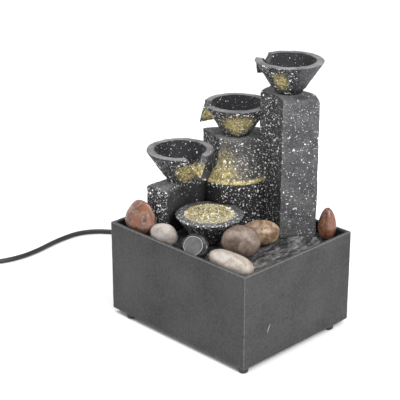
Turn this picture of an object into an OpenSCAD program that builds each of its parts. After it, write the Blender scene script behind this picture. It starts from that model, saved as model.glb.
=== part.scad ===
// Tabletop water fountain: a cast tower of four pouring bowls stands on a rock deck
// inside a slate-finished basin. A small pump under the deck lifts the water to the top bowl.
// Origin: middle of the body's footprint, on the table. +Z up, -Y is the wide front face.

/* [Basin] */
// Width of the basin, along X
basin_w = 180; // [160:1:230]
// Depth of the basin, along Y
basin_d = 148; // [136:1:190]
// Height of the basin wall, without the feet
basin_h = 93; // [78:1:120]
// Thickness of the basin wall
basin_wall = 4; // [3:0.5:6]
// Thickness of the basin floor
basin_floor = 4; // [3:0.5:6]
// Height of the rubber feet under the basin
foot_h = 5; // [3:0.5:8]
// Diameter of one foot
foot_d = 10; // [8:1:14]
// Distance from the front and right faces to the middle of a foot
foot_near = 5.5; // [5.5:0.5:12]
// Distance from the back and left faces to the middle of a foot
foot_far = 22; // [6:1:30]

/* [Tower] */
// Height of the rock deck's top above the table
deck_top = 88; // [76:1:98]
// Thickness of the rock deck
deck_t = 6; // [4:1:10]
// Gap between the deck and the basin wall
deck_gap = 1; // [0.5:0.25:2]
// Height of the pillar that carries the top bowl, above the deck
pillar_h = 138.5; // [120:0.5:180]
// Height of the middle tier above the deck
mid_h = 89.5; // [70:0.5:110]
// Height of the low tier above the deck
low_h = 49.5; // [40:0.5:60]
// Inner radius of the curved tower wall
wall_inner_r = 42; // [36:1:46]
// Outer radius of the curved tower wall
wall_outer_r = 77; // [66:1:80]
// Radius of the round ledge under the cascade
ledge_r = 37; // [32:1:40]
// Radius of the cascade column at its top
column_r = 19; // [16:1:26]

/* [Bowls] */
// Outer radius of a bowl at its rim
bowl_r = 33; // [28:0.5:36]
// Height of a bowl
bowl_h = 31; // [26:0.5:36]
// Radius of a bowl's foot
bowl_foot_r = 13.5; // [11:0.5:16]
// Width of the flat rim of a bowl
rim_w = 8; // [5:0.5:10]
// Width of the flat rim of the catch bowl
catch_rim_w = 9; // [5:0.5:11]
// Depth of the hollow in a pouring bowl
bowl_depth = 22; // [16:0.5:24]
// Depth of the shallow hollow in the catch bowl
catch_depth = 6; // [5:0.5:10]
// Height of the catch bowl
catch_h = 28.5; // [24:0.5:34]
// How far a spout's tip is from the middle of its bowl
spout_reach = 37; // [34:0.5:42]
// How far a spout's tip is below the rim
spout_drop = 18.5; // [14:0.5:20]
// Half of a spout's opening at the rim
spout_half_w = 11.5; // [8:0.5:13]

/* [Pump] */
// Width of the pump across its motor
pump_w = 25; // [24:0.5:30]
// Height of the pump housing
pump_h = 32; // [30:1:40]
// Length of the motor part of the housing
motor_len = 27; // [25:1:34]
// Depth of the impeller chamber
chamber_len = 8; // [7:0.5:12]
// Radius of the impeller chamber
chamber_r = 9.5; // [8:0.5:11]
// Radius of the rotor well
well_r = 6.5; // [6:0.25:8]
// Wall of the pump housing
pump_wall = 2; // [1.5:0.25:3]
// Radius of the rotor magnet
rotor_r = 5.6; // [5:0.1:6]
// Radius of the ceramic shaft
shaft_r = 1; // [0.8:0.1:1.5]
// Radial running gap of the rotor on its shaft
shaft_gap = 0.05; // [0.02:0.01:0.1]
// Height of the suction cups under the pump
cup_h = 4; // [3:0.5:6]
// Outer radius of the pump's outlet nozzle
nozzle_r = 3.2; // [2.5:0.1:4]
// Radial gap between the nozzle and the riser tube
tube_gap = 0.3; // [0.2:0.05:0.5]
// Wall of the riser tube
tube_wall = 1.2; // [0.8:0.1:2]

/* [Power cord] */
// Diameter of the cord
cord_d = 5; // [4:0.5:6]
// Mean diameter of the cord's coil
coil_mean_d = 56; // [50:1:60]
// Height of the cord's outlet in the back wall, above the table
outlet_z = 70; // [60:1:74]

/* [Hidden] */
$fn = 96;

slack = 0.3;            // gap between pieces that only touch
tower_turn = 45.3;      // the tower faces the front corner of the basin
ring = [5.3, -8];       // middle of the curved wall, in the tower's frame
pillar_from = 0;        // angles of the tiers round the middle of the curved wall
pillar_to = 57.5;
mid_to = 114;
low_to = 215;
column_at = [5, 45];    // middle of the cascade column, in the tower's frame
catch_at = [-19.5, -12];
lower_at = [-47.8, 25];
middle_at = [7, 46];
top_at = [55, 23.5];
low_face_x = -63.5;     // left face of the low tier, in the basin's frame
low_face_y = -51;       // front face of the low tier
hollow_gap = 5.5;       // room round the catch bowl
top_spout = 189 - tower_turn;
middle_spout = 228 - tower_turn;
lower_spout = -12 - tower_turn;

inner_w = basin_w - 2 * basin_wall;
inner_d = basin_d - 2 * basin_wall;
floor_z = foot_h + basin_floor;
deck_under = deck_top - deck_t;
pillar_top = deck_top + pillar_h;
mid_top = deck_top + mid_h;
low_top = deck_top + low_h;
tower_margin = 2;       // the tower stands this far inside the basin wall
post = 11;              // side of a corner post that carries the deck
corner_r = 1;           // the basin's upright edges, outside and inside
inner_r = 1;
tube_in_r = nozzle_r + tube_gap;
tube_out_r = tube_in_r + tube_wall;
bore_r = tube_out_r + 0.2;

// A point of the tower's frame, in the basin's frame
function turned(p) = [p[0] * cos(tower_turn) - p[1] * sin(tower_turn),
                      p[0] * sin(tower_turn) + p[1] * cos(tower_turn)];
riser = turned(top_at);
// The top bowl hangs out past the back wall, so the body's middle lies behind the basin's
overhang = max(0, riser[1] + bowl_r - basin_d / 2);
basin_y = -overhang / 2;

module at_basin() translate([0, basin_y, 0]) children();
module at_tower() at_basin() rotate([0, 0, tower_turn]) children();
module at_ring() at_tower() translate([ring[0], ring[1], 0]) children();

module rounded_plate(w, d, h, r) {
    linear_extrude(h) union() {
        square([w - 2 * r, d], center = true);
        square([w, d - 2 * r], center = true);
        for (x = [-1, 1], y = [-1, 1])
            translate([x * (w / 2 - r), y * (d / 2 - r)]) circle(r = r, $fn = 32);
    }
}

// ---- basin ----

module basin() color([0.28, 0.29, 0.30]) at_basin() difference() {
    translate([0, 0, foot_h]) rounded_plate(basin_w, basin_d, basin_h, corner_r);
    translate([0, 0, floor_z]) rounded_plate(inner_w, inner_d, basin_h, inner_r);
    cord_hole();
}

// Four blocks bonded in the basin's inner corners: the deck rests on them
module deck_posts() color([0.10, 0.10, 0.10]) at_basin() intersection() {
    translate([0, 0, floor_z]) rounded_plate(inner_w, inner_d, deck_under - floor_z, inner_r);
    for (x = [-1, 1], y = [-1, 1])
        translate([x * (inner_w - post) / 2, y * (inner_d - post) / 2, (floor_z + deck_under) / 2])
            cube([post, post, deck_under], center = true);
}

cord_x = -40;           // the cord leaves the back wall here
hole_r = cord_d / 2 + 2;
module cord_hole() {
    translate([cord_x, inner_d / 2 - 1, outlet_z])
        rotate([-90, 0, 0]) cylinder(r = hole_r, h = basin_wall + 2);
}

module basin_feet() color([0.08, 0.08, 0.08]) at_basin() {
    for (x = [foot_far - basin_w / 2, basin_w / 2 - foot_near],
         y = [foot_near - basin_d / 2, basin_d / 2 - foot_far])
        translate([x, y, 0])
            rotate_extrude($fn = 48) polygon([[0, 0], [foot_d / 2 - 1.5, 0], [foot_d / 2 - 0.5, 1],
                                              [foot_d / 2, foot_h], [0, foot_h]]);
}

// ---- tower ----

// The outline of the curved wall between two angles
module arc_wall(from, to, r_in, r_out) {
    reach = 2 * r_out;
    steps = ceil((to - from) / 45);
    turn = (to - from) / steps;
    intersection() {
        difference() {
            circle(r = r_out, $fn = 180);
            circle(r = r_in, $fn = 180);
        }
        polygon(concat([[0, 0]], [for (i = [0 : steps])
            reach * [cos(from + i * turn), sin(from + i * turn)]]));
    }
}

// What stands above the deck stays inside the basin wall
module inside_basin(low_x, low_y, h) {
    x0 = max(low_x, -inner_w / 2 + tower_margin);
    y0 = max(low_y, -inner_d / 2 + tower_margin);
    at_basin() translate([x0, y0, deck_top - 1])
        cube([inner_w / 2 - tower_margin - x0, inner_d / 2 - tower_margin - y0, h + 2]);
}

module riser_bore(z, h) at_riser(z) cylinder(r = bore_r, h = h);

module pillar() color([0.30, 0.31, 0.32]) difference() {
    intersection() {
        at_ring() translate([0, 0, deck_top]) linear_extrude(pillar_h)
            arc_wall(pillar_from, pillar_to, wall_inner_r, wall_outer_r);
        inside_basin(-basin_w, -basin_d, pillar_h);
    }
    riser_bore(deck_top - 1, pillar_h + 2);
}

module mid_tier() color([0.20, 0.20, 0.21]) intersection() {
    at_ring() translate([0, 0, deck_top]) linear_extrude(mid_h)
        arc_wall(pillar_to, mid_to, wall_inner_r, wall_outer_r);
    inside_basin(-basin_w, -basin_d, mid_h);
}

module low_tier() color([0.20, 0.20, 0.21]) difference() {
    intersection() {
        at_ring() translate([0, 0, deck_top]) linear_extrude(low_h)
            arc_wall(mid_to, low_to, wall_inner_r, wall_outer_r + 14);
        inside_basin(low_face_x, low_face_y, low_h);
    }
    at_tower() translate([catch_at[0], catch_at[1], deck_top - 1])
        cylinder(r = bowl_r + hollow_gap, h = low_h + 2);
}

// Round ledge below, slimmer column above, with a concave flare between them
flare_steps = 8;
flare_share = 0.75;     // of the height between the ledge and the column's top
function flare(t) = [column_r + (ledge_r - 1 - column_r) * pow(1 - t, 1.8),
                     low_top + (mid_h - low_h) * flare_share * t];
module cascade_column() color([0.55, 0.47, 0.25]) difference() {
    intersection() {
        at_tower() translate([column_at[0], column_at[1], 0]) rotate_extrude($fn = 120)
            polygon(concat([[0, deck_top], [ledge_r, deck_top], [ledge_r, low_top - 1]],
                           [for (i = [0 : flare_steps]) flare(i / flare_steps)],
                           [[column_r, mid_top - 1], [column_r - 1, mid_top], [0, mid_top]]));
        at_ring() cylinder(r = wall_inner_r, h = 2 * mid_top, $fn = 180);
    }
    at_tower() translate([catch_at[0], catch_at[1], deck_top - 1]) catch_envelope();
}

// The room that the catch bowl takes out of the ledge
module catch_envelope() cylinder(r1 = bowl_foot_r, r2 = bowl_r + 1.5, h = catch_h + 1.5);

drain_d = 6;            // the water runs back through these holes
drain_at = [[-76, 20], [-76, 50], [-30, 60], [74, 30], [74, -12], [74, -34]];
module rock_deck() color([0.22, 0.22, 0.23]) difference() {
    union() {
        at_basin() translate([0, 0, deck_under])
            rounded_plate(inner_w - 2 * deck_gap, inner_d - 2 * deck_gap, deck_t, 1);
        mound(64, -17, 15, 8, 6);
        mound(78, -9.5, 9, 5, 4);
    }
    riser_bore(deck_under - 1, deck_t + 2);
    at_basin() for (p = drain_at)
        translate([p[0], p[1], deck_under - 1]) cylinder(d = drain_d, h = deck_t + 2, $fn = 32);
}

// A low heap of rock, in front of the pillar's end face
module mound(x, y, r1, r2, h) difference() {
    at_tower() translate([x, y, deck_top - 1]) cylinder(r1 = r1, r2 = r2, h = h + 1, $fn = 40);
    at_tower() translate([x - 50, ring[1], deck_top]) cube([100, 60, 2 * h]);
}

// ---- bowls ----

// A bowl round its own axis, with its spout along +X. cup is the depth of its hollow.
module bowl_body(h) rotate_extrude()
    polygon([[0, 0], [bowl_foot_r, 0], [bowl_foot_r, 2], [bowl_foot_r + 3.5, 6],
             [bowl_r - 1.2, h - 2.5], [bowl_r, h - 0.8], [bowl_r - 0.8, h], [0, h]]);

module bowl_hollow(h, cup, mouth) rotate_extrude()
    polygon([[0, h - cup], [7, h - cup], [10, h - cup + 2], [mouth - 0.8, h - 1],
             [mouth, h], [mouth, h + 1], [0, h + 1]]);

// The V that the water runs down, falling on its way out to the tip
spout_fall = 13;
module spout_groove(h) translate([spout_reach, 0, h - spout_drop]) rotate([0, spout_fall, 0])
    translate([-spout_reach, 0, 0]) rotate([90, 0, 90]) linear_extrude(spout_reach + 8)
        polygon([[0, 0], 1.5 * [spout_half_w, spout_drop], 1.5 * [-spout_half_w, spout_drop]]);

// The beak: a thin wedge under the V, with a sharp low tip
beak_lip = 5;
beak_wall = 1.5;
keel_from = 14;         // the keel leaves the bowl's body here
module beak(h) {
    half = spout_half_w + beak_wall;
    tip_z = h - spout_drop - beak_wall;
    keel_z = tip_z + (spout_reach - keel_from) * tan(spout_fall) - 1;
    polyhedron(
        [[8, -half - beak_lip, h], [8, half + beak_lip, h], [30, half, h], [30, -half, h],
         [keel_from, 0, keel_z], [spout_reach, 0, tip_z]],
        [[0, 1, 2], [0, 2, 3], [0, 4, 1], [1, 4, 5], [1, 5, 2], [2, 5, 3], [3, 5, 4], [3, 4, 0]]);
}

module pouring_bowl(h, cup) difference() {
    union() {
        bowl_body(h);
        beak(h);
    }
    bowl_hollow(h, cup, bowl_r - rim_w);
    spout_groove(h);
}

module placed(at, z, spout) at_tower() translate([at[0], at[1], z]) rotate([0, 0, spout]) children();

module top_bowl() color([0.33, 0.33, 0.33]) difference() {
    placed(top_at, pillar_top, top_spout) pouring_bowl(bowl_h, bowl_depth);
    riser_bore(pillar_top - 1, bowl_h);
}

module middle_bowl() color([0.45, 0.40, 0.25]) difference() {
    placed(middle_at, mid_top, middle_spout) pouring_bowl(bowl_h, bowl_depth);
    at_ring() translate([0, 0, mid_top - 1]) linear_extrude(bowl_h + 2)
        arc_wall(pillar_from, pillar_to, wall_inner_r, wall_outer_r);
}

module lower_bowl() color([0.45, 0.40, 0.25]) difference() {
    placed(lower_at, low_top, lower_spout) pouring_bowl(bowl_h, bowl_depth);
    at_ring() translate([0, 0, low_top - 1]) linear_extrude(bowl_h + 2)
        arc_wall(pillar_to, mid_to, wall_inner_r, wall_outer_r);
}

module catch_bowl() color([0.65, 0.55, 0.28]) at_tower() translate([catch_at[0], catch_at[1], deck_top])
    difference() {
        bowl_body(catch_h);
        bowl_hollow(catch_h, catch_depth, bowl_r - catch_rim_w);
    }

// ---- water path ----

nozzle_top = floor_z + cup_h + pump_h + 9;
tube_from = nozzle_top - 8;
bowl_floor = pillar_top + bowl_h - bowl_depth;
module at_riser(z) at_basin() translate([riser[0], riser[1], z]) children();
module riser_tube() color([0.8, 0.85, 0.85]) at_riser(tube_from) difference() {
    cylinder(r = tube_out_r, h = bowl_floor - tube_from);
    translate([0, 0, -1]) cylinder(r = tube_in_r, h = bowl_floor - tube_from + 2);
}

// A flanged ring on the bowl's floor that the tube's end sits in
module water_outlet() color([0.1, 0.1, 0.1]) at_riser(bowl_floor) difference() {
    rotate_extrude($fn = 64)
        polygon([[0, 0], [tube_out_r + 1.5, 0], [tube_out_r + 1.5, 1.2], [tube_in_r + 1, 3.5], [0, 3.5]]);
    translate([0, 0, -1]) cylinder(r = tube_in_r - 0.6, h = 6);
}

// ---- pump: it lies along X, its chamber under the riser, its motor towards -X ----

motor_back = -chamber_len / 2 - motor_len;
chamber_from = -chamber_len / 2;
chamber_to = chamber_len / 2;
axis_z = pump_h / 2;
lid_t = 2;
sponge_t = 4;
cover_wall = 1.5;
well_len = 22;
dial_t = 2;
pump_in_w = pump_w - 2 * pump_wall;
pump_in_h = pump_h - 2 * pump_wall;
cover_in_w = pump_w - 2 * cover_wall;
cover_in_h = pump_h - 2 * cover_wall;
fit_gap = 0.2;          // room round a block that drops into its housing
module at_pump() at_riser(floor_z + cup_h) children();
module along_x(x, r, len) translate([x, 0, axis_z]) rotate([0, 90, 0]) cylinder(r = r, h = len, $fn = 64);
module pump_box(x, len, w, h, z) translate([x + len / 2, 0, z + h / 2]) cube([len, w, h], center = true);

module pump_housing() color([0.06, 0.06, 0.06]) at_pump() difference() {
    pump_box(motor_back, motor_len + chamber_len, pump_w, pump_h, 0);
    difference() {
        pump_box(motor_back - 1, motor_len - pump_wall + 1, pump_in_w, pump_in_h, pump_wall);
        along_x(chamber_from - well_len - pump_wall, well_r + 1, well_len + 2 * pump_wall);
    }
    along_x(chamber_from - well_len, well_r, well_len + 1);
    along_x(chamber_from, chamber_r, chamber_len + 1);
    translate([0, 0, axis_z]) cylinder(r = nozzle_r - 1, h = pump_h);
}

module pump_back_cap() color([0.12, 0.12, 0.12]) at_pump() difference() {
    pump_box(motor_back - 2, 2, pump_w, pump_h, 0);
    along_x(motor_back - 3, cord_d / 2 + 0.1, 4);
}

stator_len = 16;
module pump_stator() color([0.55, 0.35, 0.2]) at_pump() difference() {
    pump_box(chamber_from - well_len + 2, stator_len,
             pump_in_w - 2 * fit_gap, pump_in_h - 2 * fit_gap, pump_wall + fit_gap);
    along_x(motor_back, well_r + 1 + fit_gap, motor_len);
}

module chamber_lid() color([0.1, 0.1, 0.1]) at_pump() difference() {
    pump_box(chamber_to, lid_t, pump_w, pump_h, 0);
    difference() {
        along_x(chamber_to - 1, 5, lid_t + 2);
        along_x(chamber_to - 1, shaft_r + 2.2, lid_t + 2);
        pump_box(chamber_to - 2, lid_t + 4, 1.6, 12, axis_z - 6);
    }
    along_x(chamber_to - 1, shaft_r + 1, 2);
}

cover_len = sponge_t + cover_wall + 0.5;
cover_from = chamber_to + lid_t;
module filter_sponge() color([0.15, 0.2, 0.3]) at_pump()
    pump_box(cover_from, sponge_t,
             cover_in_w - 2 * fit_gap, cover_in_h - 2 * fit_gap, cover_wall + fit_gap);

slot_w = 1.6;
slot_h = 9;
module intake_cover() color([0.05, 0.05, 0.05]) at_pump() difference() {
    pump_box(cover_from, cover_len, pump_w, pump_h, 0);
    pump_box(cover_from - 1, cover_len - cover_wall + 1, cover_in_w, cover_in_h, cover_wall);
    for (i = [-3 : 3], side = [-1, 1]) if (abs(i) > 0)
        translate([0, i * 2 * slot_w, side * pump_h * 0.25])
            pump_box(cover_from, 2 * cover_len, slot_w, slot_h, axis_z - slot_h / 2);
}

// A small shutter that turns on the intake cover's face and sets the flow
module flow_dial() color([0.2, 0.2, 0.2]) at_pump() union() {
    along_x(cover_from + cover_len + slack, 3.5, dial_t);
    translate([cover_from + cover_len + slack, -1.2, axis_z]) cube([dial_t, 2.4, 9]);
}

rotor_from = chamber_from - well_len + 1.5;
rotor_len = well_len - 1.5;
module rotor_magnet() color([0.25, 0.25, 0.27]) at_pump() difference() {
    along_x(rotor_from, rotor_r, rotor_len);
    along_x(rotor_from - 1, shaft_r + shaft_gap, rotor_len + 2);
}

impeller_len = 5;
module impeller() color([0.85, 0.85, 0.82]) at_pump() difference() {
    union() {
        along_x(chamber_from, 3, impeller_len);
        along_x(chamber_from, chamber_r - 1.5, 1);
        for (i = [0 : 5]) translate([chamber_from + impeller_len / 2, 0, axis_z])
            rotate([60 * i, 0, 0]) translate([0, 0, (chamber_r - 1.5) / 2 + 0.5])
                cube([impeller_len, 1, chamber_r - 3], center = true);
    }
    along_x(chamber_from - 1, shaft_r + shaft_gap, impeller_len + 2);
}

bush_len = 1;
module rotor_shaft() color([0.95, 0.95, 0.92]) at_pump()
    along_x(chamber_from - well_len + bush_len / 2, shaft_r, well_len + chamber_len + bush_len / 2);

module shaft_bushes() color([0.1, 0.1, 0.1]) at_pump() {
    difference() {
        along_x(chamber_from - well_len, well_r, bush_len);
        along_x(chamber_from - well_len + bush_len / 2, shaft_r, bush_len);
    }
    difference() {
        along_x(chamber_to, shaft_r + 1, 1);
        along_x(chamber_to - 1, shaft_r, 3);
    }
}

module suction_cups() color([0.12, 0.12, 0.12]) at_pump() {
    for (x = [motor_back + 7, chamber_to - 3], y = [-1, 1])
        translate([x, y * (pump_w / 2 - 6), -cup_h]) rotate_extrude($fn = 32)
            polygon([[0, 0.8], [4, 0], [4.8, 0], [4.8, 0.5], [2, 2.2], [2, cup_h], [0, cup_h]]);
}

module outlet_nozzle() color([0.06, 0.06, 0.06]) at_pump() translate([0, 0, pump_h]) difference() {
    union() {
        cylinder(r = nozzle_r, h = nozzle_top - floor_z - cup_h - pump_h);
        cylinder(r = nozzle_r + 1.5, h = 0.8);
    }
    translate([0, 0, -1]) cylinder(r = nozzle_r - 1, h = 12);
}

// ---- cords ----

grommet_out = 1.5;
module cable_grommet() color([0.05, 0.05, 0.05]) at_basin() translate([cord_x, inner_d / 2, outlet_z])
    rotate([-90, 0, 0]) difference() {
        union() {
            cylinder(r = hole_r, h = basin_wall);
            translate([0, 0, -1.5]) cylinder(r = hole_r + 1.5, h = 1.5);
            translate([0, 0, basin_wall]) cylinder(r = hole_r + 1.5, h = grommet_out);
        }
        translate([0, 0, -3]) cylinder(d = cord_d, h = basin_wall + 6);
    }

relief_len = 22;
exit_y = basin_d / 2 + grommet_out;
module strain_relief() color([0.05, 0.05, 0.05]) at_basin() translate([cord_x, exit_y, outlet_z])
    rotate([-90, 0, 0]) difference() {
        rotate_extrude($fn = 40)
            polygon([[0, 0], [cord_d / 2 + 2, 0], [cord_d / 2 + 2, 3],
                     [cord_d / 2 + 0.8, relief_len], [0, relief_len]]);
        translate([0, 0, -1]) cylinder(d = cord_d, h = relief_len + 2);
    }

// A smooth line through chosen points, n pieces to each stretch
function spline(p, i, t) =
    let (a = p[max(i - 1, 0)], b = p[i], c = p[i + 1], d = p[min(i + 2, len(p) - 1)])
    0.5 * (2 * b + (c - a) * t + (2 * a - 5 * b + 4 * c - d) * t * t + (3 * b - a - 3 * c + d) * t * t * t);
function smooth_line(p, n) = concat(
    [for (i = [0 : len(p) - 2], k = [0 : n - 1]) spline(p, i, k / n)], [p[len(p) - 1]]);
function unit(v) = v / norm(v);
function heading(p, i) = unit(p[min(i + 1, len(p) - 1)] - p[max(i - 1, 0)]);
// A sideways direction that doesn't flip: across the heading and a fixed slanting line
function sideways(v) = unit(cross(v, [0.36, 0.24, 0.9]));

module tube_along(p, d, sides) {
    rings = [for (i = [0 : len(p) - 1]) let (v = heading(p, i), a = sideways(v), b = cross(v, a))
        for (k = [0 : sides - 1]) p[i] + d / 2 * (cos(360 * k / sides) * a + sin(360 * k / sides) * b)];
    n = len(p);
    skin = [for (i = [0 : n - 2], k = [0 : sides - 1]) let (j = (k + 1) % sides)
        [i * sides + k, i * sides + j, (i + 1) * sides + j, (i + 1) * sides + k]];
    ends = [[for (k = [sides - 1 : -1 : 0]) k], [for (k = [0 : sides - 1]) (n - 1) * sides + k]];
    polyhedron(rings, concat(skin, ends));
}

// The lead inside the basin, from the pump's back cap to the grommet (basin's frame)
lead_route = [[-10.7, 55.7, 29], [-16, 55.7, 29], [-24, 56, 31], [-31, 56, 38], [-36, 56, 48],
              [-39, 57, 60], [-40, 60.5, 67], [-40, 64, 69.6], [-40, 68.5, 70]];
module pump_lead() color([0.04, 0.04, 0.04]) at_basin() tube_along(smooth_line(lead_route, 3), cord_d, 10);

// The cord on the table, from the strain relief's end to the coil (basin's frame)
cord_route = [[-40, 97.5, 70], [-40, 104, 70], [-41, 111, 67], [-43, 118, 59], [-46, 123, 46],
              [-50, 126, 32], [-56, 127, 18], [-66, 126, 8], [-80, 122, 3.5], [-98, 115, 2.5],
              [-125, 104, 2.5], [-160, 90, 2.5], [-195, 76, 2.5], [-222, 65, 2.5], [-241, 53, 2.5],
              [-254, 41, 2.5], [-262, 26, 2.5], [-264, 8, 2.5], [-262, -14, 2.5], [-258, -37, 2.5],
              [-257, -57, 2.5], [-260, -75, 2.5], [-266, -90, 2.5], [-275, -104.5, 2.5],
              [-285, -120.5, 2.5]];
module power_cord() color([0.04, 0.04, 0.04]) at_basin() tube_along(smooth_line(cord_route, 3), cord_d, 10);

// The coil of the spare length, beside the cord's end
coil_at = [-259, -136];
coil_wide = 2;          // turns side by side
coil_high = 3;          // turns on top of each other
coil_ring_r = coil_mean_d / 2;
coil_w = coil_wide * cord_d;
coil_h = coil_high * cord_d;
module cord_coil() color([0.04, 0.04, 0.04]) at_basin() translate([coil_at[0], coil_at[1], 0])
    rotate_extrude($fn = 72) translate([coil_ring_r - coil_w / 2, 0]) square([coil_w, coil_h]);

tie_t = 1;
tie_w = 6;
tie_turn = 60;
module cord_tie() color([0.1, 0.1, 0.1]) at_basin() translate([coil_at[0], coil_at[1], 0])
    rotate([0, 0, tie_turn]) translate([coil_ring_r - coil_w / 2, -tie_w / 2, 0]) difference() {
        translate([-tie_t, 0, 0]) cube([coil_w + 2 * tie_t, tie_w, coil_h + tie_t]);
        translate([0, -1, -1]) cube([coil_w, tie_w + 2, coil_h + 1]);
    }

// The plug lies on the coil, its body over the turns
plug_at = [20, -22];
plug_size = [22, 24, 12];
plug_tail = 14;
pin_len = 16;
module at_plug() at_basin() translate([coil_at[0], coil_at[1], coil_h])
    translate([plug_at[0], plug_at[1], plug_size[2] / 2]) children();
module plug_body() color([0.05, 0.05, 0.05]) at_plug() union() {
    cube(plug_size, center = true);
    translate([1 - plug_size[0] / 2, 0, 0]) rotate([0, -90, 0])
        cylinder(r1 = 5, r2 = 3.5, h = plug_tail + 1);
}
module plug_pins() color([0.8, 0.8, 0.8]) at_plug() for (y = [-1, 1])
    translate([plug_size[0] / 2 + pin_len / 2, y * 6.35, 0]) cube([pin_len, 1.5, 6.3], center = true);

// ---- pebbles ----

// A water-worn stone on the deck: its place, its three half sizes, and how it is turned and tipped
module stone(at, half, turn, tip = 0) {
    rise = norm([half[1] * sin(tip), half[2] * cos(tip)]);
    at_basin() translate([at[0], at[1], deck_top + slack + rise]) rotate([0, 0, turn]) rotate([tip, 0, 0])
        scale(half) sphere(r = 1, $fn = 40);
}

module pebble_rust() color([0.48, 0.30, 0.24]) stone([-60.5, -60.5], [17.5, 8.3, 18.3], 12);
module pebble_sand() color([0.66, 0.60, 0.54]) stone([-28, -60.6], [14.5, 8.2, 10.8], 12);
module pebble_black() color([0.08, 0.08, 0.08]) stone([14.6, -61], [16.5, 5, 13.2], 0, -32);
module pebble_white() color([0.82, 0.78, 0.73]) stone([59, -59.5], [26, 9.6, 9.6], 0);
module pebble_taupe() color([0.50, 0.43, 0.38]) stone([41.3, -28.4], [18.5, 13.5, 15.5], 45);
module pebble_tan() color([0.72, 0.58, 0.42]) stone([34.5, 5], [19, 10.3, 12.3], 45);
module pebble_wine() color([0.33, 0.20, 0.19]) stone([71, 60.3], [9, 9, 16.2], 45);

basin();
basin_feet();
deck_posts();
rock_deck();
pillar();
mid_tier();
low_tier();
cascade_column();
top_bowl();
middle_bowl();
lower_bowl();
catch_bowl();
riser_tube();
water_outlet();
pump_housing();
pump_back_cap();
pump_stator();
chamber_lid();
filter_sponge();
intake_cover();
flow_dial();
rotor_magnet();
impeller();
rotor_shaft();
shaft_bushes();
suction_cups();
outlet_nozzle();
pump_lead();
cable_grommet();
strain_relief();
power_cord();
cord_coil();
cord_tie();
plug_body();
plug_pins();
pebble_rust();
pebble_sand();
pebble_black();
pebble_white();
pebble_taupe();
pebble_tan();
pebble_wine();
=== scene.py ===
"""Looks of a tabletop water fountain: a cast, speckled and gilded tower of bowls among
river stones in a slate-finished basin. Metres, in the CAD model's frame: +Z up, -Y the wide front."""
import math

import bmesh
import bpy
import numpy as np
from mathutils import Matrix, Vector, noise


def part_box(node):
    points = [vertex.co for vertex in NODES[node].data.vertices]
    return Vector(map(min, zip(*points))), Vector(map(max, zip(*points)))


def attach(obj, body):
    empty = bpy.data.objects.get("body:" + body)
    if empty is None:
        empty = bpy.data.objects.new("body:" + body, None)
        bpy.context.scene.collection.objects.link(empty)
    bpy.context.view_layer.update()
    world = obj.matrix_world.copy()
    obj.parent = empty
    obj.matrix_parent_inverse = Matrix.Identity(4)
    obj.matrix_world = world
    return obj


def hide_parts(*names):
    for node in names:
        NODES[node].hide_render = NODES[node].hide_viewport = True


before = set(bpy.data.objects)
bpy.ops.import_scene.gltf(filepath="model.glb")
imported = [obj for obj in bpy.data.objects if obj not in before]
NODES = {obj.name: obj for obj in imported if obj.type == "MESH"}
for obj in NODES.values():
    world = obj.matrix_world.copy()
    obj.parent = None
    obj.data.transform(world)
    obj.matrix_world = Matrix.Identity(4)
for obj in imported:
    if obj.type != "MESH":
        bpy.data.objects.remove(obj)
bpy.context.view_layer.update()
MM = 0.001


# ---------------------------------------------------------------- places, from the frame
def middle(node):
    lo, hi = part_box(node)
    return (lo + hi) / 2


def flat(p):
    return np.array([p[0], p[1]])


BASIN_LO, BASIN_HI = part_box("basin")
BASIN_MID = (BASIN_LO + BASIN_HI) / 2
DECK_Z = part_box("pillar")[0].z
PILLAR_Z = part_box("pillar")[1].z
MID_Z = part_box("mid_tier")[1].z
LOW_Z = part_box("low_tier")[1].z
TOWER_TURN = math.radians(45.3)


def in_tower(x, y):
    """A point of the tower's own frame, in mm, as a point of the row frame in metres."""
    c, s = math.cos(TOWER_TURN), math.sin(TOWER_TURN)
    return np.array([(x * c - y * s) * MM, (x * s + y * c) * MM + BASIN_MID.y])


RING = in_tower(5.3, -8)
COLUMN = in_tower(5, 45)
MIDDLE_BOWL = in_tower(7, 46)
LOWER_BOWL = in_tower(-47.8, 25)
CAMERA_AT = Vector((0.78104, -0.82043, 0.57874))
CAMERA_LOOK = Vector((-0.6596, 0.6525, -0.3732))
TO_CAMERA = np.array([0.711, -0.703])
TO_RIGHT = np.array([0.703, 0.711])


# ---------------------------------------------------------------- camera
def make_camera():
    data = bpy.data.cameras.new("camera")
    data.sensor_width = 36
    data.lens = 114.44
    data.clip_start, data.clip_end = 0.05, 20
    camera = bpy.data.objects.new("camera", data)
    bpy.context.scene.collection.objects.link(camera)
    camera.location = CAMERA_AT
    camera.rotation_mode = "QUATERNION"
    camera.rotation_quaternion = CAMERA_LOOK.to_track_quat("-Z", "Y")
    bpy.context.scene.camera = camera


make_camera()


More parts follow.
